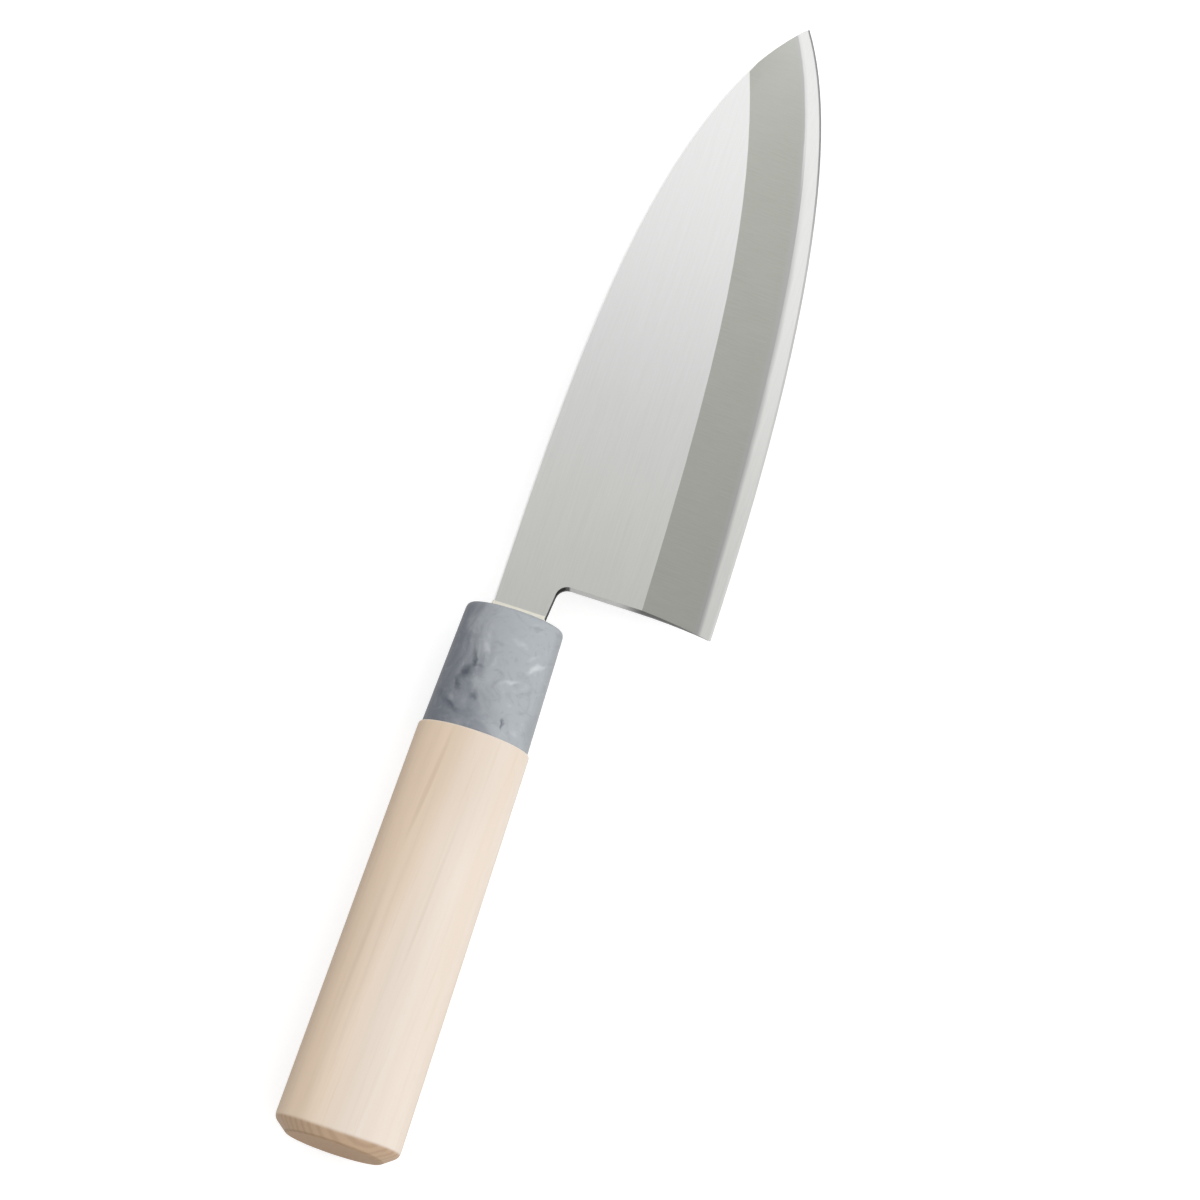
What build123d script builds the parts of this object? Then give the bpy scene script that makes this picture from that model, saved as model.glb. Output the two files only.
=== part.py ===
from build123d import *
from math import cos, radians, sin, sqrt
import os

# Deba knife, a single-bevel kitchen knife, lying with its bevelled face up.
# Lengths are in millimetres. +X runs from the butt of the handle to the tip of the blade,
# the cutting edge looks to -Y, the spine to +Y, and +Z points out of the bevelled face.
# The origin is the centre of the butt's flat end, on the axis of the handle.

# Handle of pale wood, oval in section and a little slimmer towards the blade
wood_length = 100.0
butt_width = 29.9
butt_thickness = 20.9
wood_front_width = 26.7
wood_front_thickness = 20.2
butt_chamfer_length = 2.75
butt_chamfer_side = 3.6
butt_chamfer_face = 1.35
butt_edge_break = 0.5
shoulder_step = 0.6
shoulder_radius = 0.8

# Ferrule, a moulded ring that tapers to a rounded mouth
ferrule_length = 30.2
ferrule_front_width = 23.4
ferrule_front_thickness = 17.4
ferrule_wall = 2.2
ferrule_mouth_radius = 1.6
ferrule_inner_break = 0.4
glue_gap = 0.05
wood_recess = 0.3

# Blade, seen from its bevelled face
blade_length = 147.7
blade_height = 50.3
tip_height = 24.1
spine_offset = 6.2
neck_length = 10.3
neck_width = 12.6
neck_flare = 0.85
notch_radius = 2.9
heel_setback = 1.1
heel_sweep = 18.0

# Blade, seen from its spine
blade_thickness = 4.2
tip_thickness = 2.55
spine_chamfer = 0.35

# Bevel, ground from the ridge down to the edge, and the small bevel along the edge itself
bevel_width = 17.0
ridge_runout = 15.3
edge_land = 0.12
edge_bevel_width = 0.5

# Hard steel under the softer body: it shows as a strip along the edge and as the whole back
hard_steel_heel = 0.9
hard_steel_middle = 0.88
hard_steel_tip = 0.5
hard_steel_setback = 1.5
hard_steel_bow = 0.8

# Hollow ground into the back by a large wheel, with a flat rim left all round it
wheel_radius = 600.0
edge_rim = 1.7
spine_rim = 2.6
hollow_heel_gap = 3.0
hollow_tip_gap = 12.0
hollow_run_in = 12.0
hollow_run_out = 25.0

# Tang, inside the handle
tang_length = 95.0
tang_tail_width = 6.4
tang_tail_thickness = 2.8
tang_tail_radius = 2.0

# Bedding resin, which fills the slot around the tang and stands as a slim bead at the mouth
bedding_side = 0.9
bedding_face = 0.5
bedding_tail = 1.8
bead_height = 2.2
bead_width = 1.3
bead_corner = 1.5
bead_slope_deg = 25

# Distance that a cut runs past the surface that it cuts
overrun = 5.0

# Inner control points of the blade's curves, as shares of each curve's length and rise
edge_shares = ((0.2, 0.013), (0.772, 0.06))
spine_shares = ((0.342, -0.011), (0.799, -0.1))
ridge_shares = ((0.487, 0.078), (0.751, 0.222))
ridge_rise_share = 0.706
# How far the bevel's curves are carried past their ends, and its surface past its sides
curve_past_share = 0.05
bevel_outer_share = 0.2
bevel_inner_share = 0.3
edge_bevel_outer_share = 2.0
edge_bevel_inner_share = 2.0
break_past_share = 1.0
# The hollow's arcs are drawn a little wider than its outline, so that they cut the back cleanly
hollow_wide_share = 1.15
hollow_middle_shares = (0.25, 0.42, 0.6)
hollow_angles_deg = (12, 30, 50, 70, 90)
# Steps of the search for a curve's height at a place along the blade
halvings = 40
# The oval pieces are ruled bands: along each taper, and between these angles of a rounded rim
taper_shares = (0.25, 0.5, 0.75)
rim_angles_deg = (0, 22.5, 45, 67.5, 90)

# Places that follow from these sizes
handle_length = wood_length + ferrule_length
heel_x = handle_length + neck_length
tip_x = heel_x + blade_length
heel_y = spine_offset - blade_height
tip_y = heel_y + tip_height
neck_y = spine_offset - neck_width
back_z = -blade_thickness / 2
tail_x = handle_length - tang_length
mouth_x = handle_length - wood_recess
blade_reach = blade_height + overrun

heel = Vector(heel_x - heel_setback, heel_y, back_z)
tip = Vector(tip_x, tip_y, back_z)
spine_start = Vector(handle_length, spine_offset, back_z)

ferrule_rear_width = wood_front_width - 2 * shoulder_step
ferrule_rear_thickness = wood_front_thickness - 2 * shoulder_step
bore_rear_width = ferrule_rear_width - 2 * ferrule_wall
bore_rear_thickness = ferrule_rear_thickness - 2 * ferrule_wall
bore_front_width = ferrule_front_width - 2 * ferrule_wall
bore_front_thickness = ferrule_front_thickness - 2 * ferrule_wall


def flat_z(x):
    """Height of the blade's flat, which falls from the ferrule's mouth to the tip."""
    share = (x - handle_length) / (tip_x - handle_length)
    return back_z + blade_thickness + share * (tip_thickness - blade_thickness)


def curve_between(start, end, shares):
    """Control points of a cubic, with its inner ones given as shares of its run and rise."""
    run = end.X - start.X
    rise = end.Y - start.Y
    inner = [start + Vector(along * run, up * rise) for along, up in shares]
    return [start, *inner, end]


def curve_point(points, *shares):
    """Point of a curve from its control points, with one share of the parameter for each step."""
    for share in shares:
        points = [a + (b - a) * share for a, b in zip(points, points[1:])]
    return points[0]


def carried_on(points, start=-curve_past_share):
    """Control points of the same cubic, carried a little past its ends."""
    end = 1 + curve_past_share
    picks = ((start, start, start), (start, start, end), (start, end, end), (end, end, end))
    return [curve_point(points, *pick) for pick in picks]


def height_at(points, x):
    """Height of a cubic at a place along the blade, found by halving its parameter range."""
    low = 0.0
    high = 1.0
    for _ in range(halvings):
        middle = (low + high) / 2
        if curve_point(points, middle, middle, middle).X < x:
            low = middle
        else:
            high = middle
    return curve_point(points, low, low, low).Y


def ground_surface(low, high, outer_share, inner_share):
    """Ruled surface through two curves, carried past both by shares of its width."""
    outer = [a - (b - a) * outer_share for a, b in zip(low, high)]
    inner = [b + (b - a) * inner_share for a, b in zip(low, high)]
    return Face.make_surface_from_curves(Edge.make_bezier(*outer), Edge.make_bezier(*inner))


def tang_outline(tail_half, front_top, front_low, front_x, margin, tail_margin):
    """Tapered outline of the tang or of its slot, from its tail as far forward as front_x."""
    share = (front_x - tail_x) / tang_length
    return [
        (front_x, tail_half + share * (front_top - tail_half) + margin),
        (tail_x - tail_margin, tail_half + margin),
        (tail_x - tail_margin, -tail_half - margin),
        (front_x, -tail_half + share * (front_low + tail_half) - margin),
    ]


def tang_plan(front_x, margin, tail_margin):
    """Outline of the tang or its slot, seen from the bevelled face."""
    return tang_outline(tang_tail_width / 2, spine_offset, neck_y, front_x, margin, tail_margin)


def tang_side(front_x, margin, tail_margin):
    """Outline of the tang or its slot, seen from the spine."""
    return tang_outline(tang_tail_thickness / 2, -back_z, back_z, front_x, margin, tail_margin)


# Curves of the blade
edge_curve = curve_between(heel, tip, edge_shares)
spine_curve = curve_between(spine_start, tip, spine_shares)

# The ridge starts above the heel and runs out at the spine, short of the tip
ridge_length = blade_length - ridge_runout
ridge_start = Vector(heel_x, heel_y + bevel_width, 0)
ridge_curve = [
    ridge_start + Vector(along * ridge_length, up * tip_height, 0)
    for along, up in ((0, 0), *ridge_shares, (1, ridge_rise_share))
]
ridge_curve = [Vector(point.X, point.Y, flat_z(point.X)) for point in ridge_curve]

# The main bevel joins the ridge to a line just above the back, the small bevel ends at the back
land_curve = [point + Vector(0, 0, edge_land) for point in edge_curve]
main_bevel = ground_surface(
    carried_on(land_curve), carried_on(ridge_curve), bevel_outer_share, bevel_inner_share
)
small_bevel_top = [
    low + (high - low) * (edge_bevel_width / bevel_width)
    for low, high in zip(land_curve, ridge_curve)
]
small_bevel = ground_surface(
    carried_on(edge_curve),
    carried_on(small_bevel_top),
    edge_bevel_outer_share,
    edge_bevel_inner_share,
)

# Both long edges of the spine are broken, so that they don't cut the finger on top of them
spine_top = [Vector(point.X, point.Y, flat_z(point.X)) for point in spine_curve]
break_down = Vector(0, 0, spine_chamfer)
break_in = Vector(0, -spine_chamfer, 0)
top_break = ground_surface(
    carried_on([point - break_down for point in spine_top], 0),
    carried_on([point + break_in for point in spine_top], 0),
    break_past_share,
    break_past_share,
)
back_break = ground_surface(
    carried_on([point + break_down for point in spine_curve], 0),
    carried_on([point + break_in for point in spine_curve], 0),
    break_past_share,
    break_past_share,
)

# Hollow of the back, drawn as arcs of the wheel across the blade
hollow_places = [
    (heel_x + hollow_heel_gap + hollow_run_in * (1 - cos(radians(angle))), sin(radians(angle)))
    for angle in hollow_angles_deg
]
hollow_places += [(heel_x + share * blade_length, 1) for share in hollow_middle_shares]
hollow_places += [
    (tip_x - hollow_tip_gap - hollow_run_out * (1 - cos(radians(angle))), sin(radians(angle)))
    for angle in reversed(hollow_angles_deg[1:])
]
with BuildPart() as hollow:
    for x, fullness in hollow_places:
        low_y = height_at(edge_curve, x) + edge_rim
        high_y = height_at(spine_curve, x) - spine_rim
        middle_y = (low_y + high_y) / 2
        half = fullness * (high_y - low_y) / 2
        wide = half * hollow_wide_share
        depth = wheel_radius - sqrt(wheel_radius**2 - half**2)
        wide_drop = wheel_radius - sqrt(wheel_radius**2 - wide**2) - depth
        with BuildSketch(Plane.YZ.offset(x)):
            with BuildLine():
                ThreePointArc(
                    (middle_y - wide, back_z - wide_drop),
                    (middle_y, back_z + depth),
                    (middle_y + wide, back_z - wide_drop),
                )
                Polyline(
                    (middle_y + wide, back_z - wide_drop),
                    (middle_y + wide, back_z - overrun),
                    (middle_y - wide, back_z - overrun),
                    (middle_y - wide, back_z - wide_drop),
                )
            make_face()
    loft()

# Whole blade with its neck and tang, before it is told apart into its two steels
with BuildPart() as blade:
    with BuildSketch(Plane.XY.offset(back_z)) as blade_plan:
        with BuildLine():
            tang_points = tang_plan(handle_length, 0, 0)
            Bezier(*[(point.X, point.Y) for point in spine_curve])
            Bezier(*[(point.X, point.Y) for point in reversed(edge_curve)])
            TangentArc((heel_x, heel_y + heel_sweep), (heel.X, heel.Y), tangent=(0, -1))
            Polyline(
                (heel_x, heel_y + heel_sweep),
                (heel_x, neck_y - neck_flare),
                tang_points[3],
                tang_points[2],
                tang_points[1],
                tang_points[0],
            )
        make_face()
        notch_corner = (heel_x, neck_y - neck_flare, back_z)
        fillet(blade_plan.vertices().sort_by_distance(notch_corner)[0], notch_radius)
        fillet(blade_plan.vertices().group_by(Axis.X)[0], tang_tail_radius)
    extrude(amount=blade_thickness)
    with BuildSketch(Plane.XZ):
        with BuildLine():
            side_points = tang_side(handle_length, 0, 0)
            Polyline(
                side_points[0],
                side_points[1],
                side_points[2],
                side_points[3],
                (tip_x + overrun, back_z),
                (tip_x + overrun, flat_z(tip_x + overrun)),
                side_points[0],
            )
        make_face()
    extrude(amount=blade_reach, both=True, mode=Mode.INTERSECT)
    extrude(main_bevel, amount=blade_thickness + overrun, dir=(0, 0, 1), mode=Mode.SUBTRACT)
    extrude(small_bevel, amount=blade_thickness + overrun, dir=(0, 0, 1), mode=Mode.SUBTRACT)
    extrude(top_break, amount=overrun, dir=(0, 0, 1), mode=Mode.SUBTRACT)
    extrude(back_break, amount=overrun, dir=(0, 0, -1), mode=Mode.SUBTRACT)
    add(hollow.part, mode=Mode.SUBTRACT)

# Space of the hard steel: all of the back up to the neck, with its top face bowed lengthwise
hard_rear_x = heel_x - hard_steel_setback
with BuildPart() as hard_space:
    with BuildSketch(Plane.XY):
        with BuildLine():
            ThreePointArc(
                (hard_rear_x, heel_y - overrun),
                (hard_rear_x - hard_steel_bow, (spine_offset + heel_y) / 2),
                (hard_rear_x, spine_offset + overrun),
            )
            Polyline(
                (hard_rear_x, spine_offset + overrun),
                (tip_x + overrun, spine_offset + overrun),
                (tip_x + overrun, heel_y - overrun),
                (hard_rear_x, heel_y - overrun),
            )
        make_face()
    extrude(amount=blade_thickness, both=True)
    with BuildSketch(Plane.XZ):
        with BuildLine():
            ThreePointArc(
                (hard_rear_x - hard_steel_bow, back_z + hard_steel_heel),
                ((hard_rear_x + tip_x) / 2, back_z + hard_steel_middle),
                (tip_x, back_z + hard_steel_tip),
            )
            Polyline(
                (tip_x, back_z + hard_steel_tip),
                (tip_x + overrun, back_z + hard_steel_tip),
                (tip_x + overrun, back_z - overrun),
                (hard_rear_x - hard_steel_bow, back_z - overrun),
                (hard_rear_x - hard_steel_bow, back_z + hard_steel_heel),
            )
        make_face()
    extrude(amount=blade_reach, both=True, mode=Mode.INTERSECT)

# Edge steel: the hard layer, open along the edge and over the hollow back
with BuildPart() as edge_steel:
    add(blade.part)
    add(hard_space.part, mode=Mode.INTERSECT)

# Blade body: the softer steel, which carries the ridge, the neck and the tang
with BuildPart() as blade_body:
    add(blade.part)
    add(hard_space.part, mode=Mode.SUBTRACT)


def oval_between(rear, front, x, inset=0):
    """Oval at a place on the straight taper from a rear oval to a front one, drawn in by inset."""
    share = (x - rear[0]) / (front[0] - rear[0])
    return (x, *[a + share * (b - a) - inset for a, b in zip(rear[1:], front[1:])])


def tapered(rear, front):
    """Ovals along a straight taper, from its rear oval to its front one."""
    run = front[0] - rear[0]
    return [rear, *[oval_between(rear, front, rear[0] + share * run) for share in taper_shares], front]


def tapered_and_rounded(rear, front, radius):
    """Ovals along a straight taper whose front end is a quarter round."""
    start = oval_between(rear, front, front[0] - radius)
    rim = []
    for angle in rim_angles_deg[1:]:
        inset = radius * (1 - cos(radians(angle)))
        x = start[0] + radius * sin(radians(angle))
        rim.append((x, start[1] - inset, start[2] - inset))
    return [*tapered(rear, start), *rim]


def oval_faces(ovals):
    """One face for each oval, given as its place along the handle and its two half sizes."""
    faces = []
    for x, half_width, half_thickness in ovals:
        with BuildSketch(Plane.YZ.offset(x)) as section:
            Ellipse(half_width, half_thickness)
        faces.append(section.sketch.face())
    return faces


# Ferrule: an oval ring, open at both ends, with its mouth rounded
ferrule_rear = (wood_length, ferrule_rear_width / 2, ferrule_rear_thickness / 2)
ferrule_front = (handle_length, ferrule_front_width / 2, ferrule_front_thickness / 2)
bore_rear = (wood_length, bore_rear_width / 2, bore_rear_thickness / 2)
bore_front = (handle_length, bore_front_width / 2, bore_front_thickness / 2)
inner_break_x = handle_length - ferrule_inner_break
ferrule_ovals = tapered_and_rounded(ferrule_rear, ferrule_front, ferrule_mouth_radius)
bore_ovals = [
    *tapered(bore_rear, oval_between(bore_rear, bore_front, inner_break_x)),
    oval_between(bore_rear, bore_front, handle_length, -ferrule_inner_break),
]
with BuildPart() as ferrule:
    loft(oval_faces(ferrule_ovals), ruled=True)
    loft(oval_faces(bore_ovals), ruled=True, mode=Mode.SUBTRACT)

# Slot for the tang, with room for the resin that beds it
with BuildPart() as tang_slot:
    with BuildSketch(Plane.XY):
        with BuildLine():
            Polyline(*tang_plan(mouth_x, bedding_side, bedding_tail), close=True)
        make_face()
    extrude(amount=butt_thickness, both=True)
    with BuildSketch(Plane.XZ):
        with BuildLine():
            Polyline(*tang_side(mouth_x, bedding_face, bedding_tail), close=True)
        make_face()
    extrude(amount=butt_width, both=True, mode=Mode.INTERSECT)

# Handle: the oval body with its chamfered butt and rounded shoulder, and the tenon in the ferrule
butt_flat = (0, butt_width / 2 - butt_chamfer_side, butt_thickness / 2 - butt_chamfer_face)
butt_rim = (butt_chamfer_length, butt_width / 2, butt_thickness / 2)
wood_front = (wood_length, wood_front_width / 2, wood_front_thickness / 2)
flank_rear = oval_between(butt_rim, wood_front, butt_chamfer_length + butt_edge_break)
wood_ovals = [
    oval_between(butt_flat, butt_rim, 0, butt_edge_break),
    oval_between(butt_flat, butt_rim, butt_edge_break),
    oval_between(butt_flat, butt_rim, butt_chamfer_length - butt_edge_break),
    *tapered_and_rounded(flank_rear, wood_front, shoulder_radius),
]
tenon_ends = [oval_between(bore_rear, bore_front, x, glue_gap) for x in (wood_length, mouth_x)]
with BuildPart() as handle:
    loft(oval_faces(wood_ovals), ruled=True)
    loft(oval_faces(tapered(*tenon_ends)), ruled=True)
    add(tang_slot.part, mode=Mode.SUBTRACT)

# Tang bedding: the resin in the slot, and the bead that it leaves round the neck
bead_plane = Plane(
    origin=(mouth_x, (spine_offset + neck_y) / 2, 0), x_dir=(0, 1, 0), z_dir=(1, 0, 0)
)
with BuildPart() as tang_bedding:
    add(tang_slot.part)
    with BuildSketch(bead_plane):
        RectangleRounded(
            neck_width + 2 * bead_width, blade_thickness + 2 * bead_width, bead_corner
        )
    extrude(amount=bead_height, taper=bead_slope_deg)
    add(blade.part, mode=Mode.SUBTRACT)

os.makedirs("parts", exist_ok=True)
edge_steel.part.label = "edge_steel"
export_step(edge_steel.part, "parts/edge_steel.step")
blade_body.part.label = "blade_body"
export_step(blade_body.part, "parts/blade_body.step")
ferrule.part.label = "ferrule"
export_step(ferrule.part, "parts/ferrule.step")
handle.part.label = "handle"
export_step(handle.part, "parts/handle.step")
tang_bedding.part.label = "tang_bedding"
export_step(tang_bedding.part, "parts/tang_bedding.step")
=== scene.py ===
from math import cos, pi, radians, sin

import bmesh
import bpy
from mathutils import Matrix, Vector


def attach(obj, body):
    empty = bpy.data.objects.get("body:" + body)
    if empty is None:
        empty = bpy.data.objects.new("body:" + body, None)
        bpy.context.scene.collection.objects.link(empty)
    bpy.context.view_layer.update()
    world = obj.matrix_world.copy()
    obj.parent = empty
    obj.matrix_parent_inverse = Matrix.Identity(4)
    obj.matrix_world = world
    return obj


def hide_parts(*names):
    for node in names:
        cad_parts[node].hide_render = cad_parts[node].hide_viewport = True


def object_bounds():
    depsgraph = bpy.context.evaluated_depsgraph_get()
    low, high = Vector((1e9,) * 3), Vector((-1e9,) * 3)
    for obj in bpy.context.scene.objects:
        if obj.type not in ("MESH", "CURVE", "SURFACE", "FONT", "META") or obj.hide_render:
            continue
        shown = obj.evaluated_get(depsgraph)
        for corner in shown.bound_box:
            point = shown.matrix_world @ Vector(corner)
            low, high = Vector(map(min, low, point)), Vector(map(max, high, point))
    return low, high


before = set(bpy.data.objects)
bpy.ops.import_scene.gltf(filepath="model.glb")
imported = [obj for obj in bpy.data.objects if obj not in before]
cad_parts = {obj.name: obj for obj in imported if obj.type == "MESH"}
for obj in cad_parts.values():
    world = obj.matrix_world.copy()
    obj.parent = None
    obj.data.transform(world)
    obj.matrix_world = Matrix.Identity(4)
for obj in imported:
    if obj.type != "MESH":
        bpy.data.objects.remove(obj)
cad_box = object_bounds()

# The knife lies with its bevelled face up: +X runs from the butt to the tip, the edge looks to -Y.
# Sizes named here are in millimetres, and MM brings them to metres. A colour is red, green, blue, alpha.
MM = 0.001

# Camera, fitted to the photograph: where it stands, what it looks at, and how far it is turned
CAMERA_PLACE = Vector((-227.8, -130.4, 1524.1)) * MM
CAMERA_AIM = Vector((140.3, -17.0, 0.0)) * MM
CAMERA_TURN_DEG = 18.34
CAMERA_LENS = 204.62
CAMERA_SENSOR = 36.0
CAMERA_CLIP_METRES = (0.01, 20.0)

# Oval handle of wood: half widths and half thicknesses at the ends of its stretches
WOOD_LENGTH = 100.0
BUTT_FLAT = (11.35, 9.1)
BUTT_INSET = 2.0
BUTT_CHAMFER = 2.75
BUTT_RIM = (14.95, 10.45)
WOOD_FRONT = (13.35, 10.1)
BUTT_FLAT_ROUNDING = 0.5
BUTT_RIM_ROUNDING = 1.3
SHOULDER_ROUNDING = 0.85

# Ferrule
FERRULE_LENGTH = 30.2
FERRULE_REAR = (12.75, 9.5)
FERRULE_FRONT = (11.7, 8.7)
FERRULE_WALL = 2.2
MOUTH_ROUNDING = 1.7
MOUTH_INNER_ROUNDING = 0.45
HANDLE_LENGTH = WOOD_LENGTH + FERRULE_LENGTH
GLUE_GAP = 0.05
MOUTH_RECESS = 0.3

# Tang, its slot, and the resin that beds it and ends in a bead
SPINE_Y = 6.2
NECK_LOW_Y = -6.4
NECK_HALF_THICKNESS = 2.1
TANG_LENGTH = 95.0
TANG_TAIL = (3.2, 1.4)
SLOT_SIDE = 0.9
SLOT_FACE = 0.5
SLOT_TAIL = 1.8
SLOT_CORNER = 0.4
TANG_CORNER = 0.08
BEAD_WIDTH = 1.3
BEAD_HEIGHT = 2.2
BEAD_CORNER = 1.5
BEAD_FILM = 0.01
BEAD_THINNING_POWER = 1.7
BEAD_RISING_POWER = 1.15

# How finely the round pieces are divided, and from which angle an edge is sharp
SEGMENTS = 160
ROUNDING_STEPS = 8
SHARP_ANGLE_DEG = 35

# Blade, for what its finish needs to know. The hard layer's top is bowed from the heel to the tip.
BACK_Z = -2.1
TIP_X = 288.2
HEEL_X = 140.5
HARD_LAYER = 0.9
HARD_LAYER_RISE = 0.32
HARD_LAYER_FALL = 0.72
HARD_LAYER_RIPPLE = 0.1

# Light and floor
FLOOR_REACH = 3000.0
FLOOR_GAP = 0.2
FLOOR_COLOR = (0.6, 0.6, 0.6, 1.0)
FLOOR_GLOW = 0.62
MIRRORED_FLOOR_GLOW = 0.35
WHITE = (1, 1, 1, 1)
SEEN_SKY = 1.0
SKY_LOW = 0.64
KEY_DIRECTION = Vector((-0.1, -0.90, 0.60)).normalized()
KEY_STRENGTH = 2.45
KEY_TIGHTNESS = 8.0
MIRRORED_KEY_SHARE = 0.3
PANEL_PLACE = Vector((540.0, 50.0, 400.0)) * MM
PANEL_AIM = Vector((540.0, 50.0, 0.0)) * MM
PANEL_SIZE = (440.0 * MM, 600.0 * MM)
PANEL_POWER = 0.84

scene = bpy.context.scene


def add_camera():
    """Camera of the photograph. Its turn is the angle on the floor of what is up in the picture."""
    data = bpy.data.cameras.new("camera")
    data.lens = CAMERA_LENS
    data.sensor_width = CAMERA_SENSOR
    data.clip_start, data.clip_end = CAMERA_CLIP_METRES
    forward = (CAMERA_AIM - CAMERA_PLACE).normalized()
    turn = radians(CAMERA_TURN_DEG)
    right = forward.cross(Vector((cos(turn), sin(turn), 0.0))).normalized()
    up = right.cross(forward)
    camera = bpy.data.objects.new("camera", data)
    rotation = Matrix((right, up, -forward)).transposed()
    camera.matrix_world = Matrix.Translation(CAMERA_PLACE) @ rotation.to_4x4()
    scene.collection.objects.link(camera)
    scene.camera = camera


# Nodes of a shader. In the names of a material's values, COLOR is one colour and TONES are two that a noise
# mixes. TURN, X, Y, HEIGHT and RANGE are each the start and the end of a smooth step, over a part of the
# normal, a place or a noise. SHARE is how strongly a colour is laid on, RELIEF a depth and a strength,
# and CLOUD, like PORES and WAVES, a noise with its scale, stretch and detail.


class Tree:
    """Node tree with short ways to add a node and to do sums on values, colours and vectors."""

    def __init__(self, owner):
        owner.use_nodes = True
        self.tree = owner.node_tree
        self.tree.nodes.clear()

    def add(self, kind, inputs=None, **settings):
        """New node. Its inputs go by name or number, and each gets a value or another node's socket."""
        node = self.tree.nodes.new("ShaderNode" + kind)
        for name, value in settings.items():
            setattr(node, name, value)
        for name, value in (inputs or {}).items():
            self.feed(node.inputs[name], value)
        return node

    def feed(self, socket, value):
        """Links a socket to another node's, or sets its value."""
        if isinstance(value, bpy.types.NodeSocket):
            self.tree.links.new(value, socket)
        else:
            socket.default_value = value

    def math(self, operation, first, second=None):
        inputs = {0: first} if second is None else {0: first, 1: second}
        return self.add("Math", inputs, operation=operation).outputs[0]

    def plus(self, first, second):
        return self.math("ADD", first, second)

    def minus(self, first, second):
        return self.math("SUBTRACT", first, second)

    def times(self, first, second):
        return self.math("MULTIPLY", first, second)

    def rise(self, start, value, reach):
        """Start, and reach more where a value goes from 0 to 1."""
        return self.plus(start, self.times(value, reach))

    def wander(self, value, noise, reach):
        """Place along an axis, moved to and fro by a noise. The reach is in millimetres."""
        return self.plus(value, self.times(self.minus(noise, 0.5), reach * MM))

    def step(self, value, start, end):
        """Smooth step from 0 to 1 as a value goes from start to end."""
        inputs = {"Value": value, "From Min": start, "From Max": end}
        return self.add("MapRange", inputs, interpolation_type="SMOOTHSTEP").outputs[0]

    def step_mm(self, value, start, end):
        """Smooth step along a length, with its start and end in millimetres."""
        return self.step(value, start * MM, end * MM)

    def pick(self, mask, off, on):
        """Value that goes from one to another as a mask goes from 0 to 1."""
        return self.add("Mix", {0: mask, 2: off, 3: on}, data_type="FLOAT").outputs[0]

    def mix(self, share, first, second):
        """Mix of two colours."""
        return self.add("Mix", {0: share, 6: first, 7: second}, data_type="RGBA").outputs[2]

    def lay(self, color, mask, share, tint):
        """Lays a tint over a colour where a mask is, at most with a share."""
        return self.mix(self.times(mask, share), color, tint)

    def split(self, vector):
        return self.add("SeparateXYZ", {0: vector}).outputs

    def vector(self, operation, first, second):
        return self.add("VectorMath", {0: first, 1: second}, operation=operation).outputs[0]

    def length(self, vector):
        return self.add("VectorMath", {0: vector}, operation="LENGTH").outputs["Value"]

    def turn(self, vector, degrees):
        """Vector turned about the Z axis."""
        return self.add("VectorRotate", {"Vector": vector, "Angle": radians(degrees)}).outputs[0]

    def noise(self, place, scale, stretch=(1, 1, 1), detail=3.0, roughness=0.5, distortion=0.0):
        """Noise from 0 to 1, with a cell of about one millimetre at scale 1, stretched along each axis."""
        size = [scale / MM / along for along in stretch]
        inputs = {
            "Vector": self.vector("MULTIPLY", place, size), "Scale": 1.0, "Detail": detail,
            "Roughness": roughness, "Distortion": distortion,
        }
        return self.add("TexNoise", inputs).outputs[0]

    def stir(self, place, scale, reach):
        """Place moved about by a noise, so that marks drawn there get smoky. The reach is in millimetres."""
        noise = self.add("TexNoise", {"Vector": place, "Scale": scale / MM, "Detail": 3.0})
        middle = self.vector("SUBTRACT", noise.outputs["Color"], (0.5, 0.5, 0.5))
        shift = self.add("VectorMath", {0: middle, "Scale": reach * MM}, operation="SCALE").outputs[0]
        return self.vector("ADD", place, shift)

    def mark(self, place, center, turn_deg, size, start=1.0, end=0.3):
        """Soft oval patch: 1 inside and 0 outside, around a centre, with half sizes along its own axes."""
        near = self.turn(self.vector("SUBTRACT", place, Vector(center) * MM), -turn_deg)
        scaled = self.vector("MULTIPLY", near, [1 / (half * MM) for half in size])
        return self.step(self.length(scaled), start, end)

    def bump(self, height, depth, strength):
        """Normal of a surface with this height from 0 to 1, over a depth in millimetres."""
        inputs = {"Height": height, "Distance": depth * MM, "Strength": strength}
        return self.add("Bump", inputs).outputs[0]


def new_material(name):
    """Material with its tree, its shader, and sockets for the place and the normal on the object."""
    mat = bpy.data.materials.new(name)
    tree = Tree(mat)
    shader = tree.add("BsdfPrincipled")
    tree.add("OutputMaterial", {0: shader.outputs[0]})
    coords = tree.add("TexCoord")
    return mat, tree, shader, coords.outputs["Object"], coords.outputs["Normal"]


# Wood, whose grain runs a little off the axis
GRAIN_ANGLE_DEG = 2.2
# scale, length, detail, roughness and distortion of each grain, from broad to fine, and how it is laid on
WOOD_GRAINS = (
    (0.16, 26, 3.0, 0.5, 0.4, (0.40, 0.72), 0.30, (0.70, 0.555, 0.415, 1)),
    (1.1, 40, 4.0, 0.6, 0.2, (0.48, 0.78), 0.20, (0.63, 0.49, 0.36, 1)),
    (4.5, 36, 2.0, 0.6, 0.0, (0.60, 0.80), 0.14, (0.52, 0.39, 0.28, 1)),
)
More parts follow.
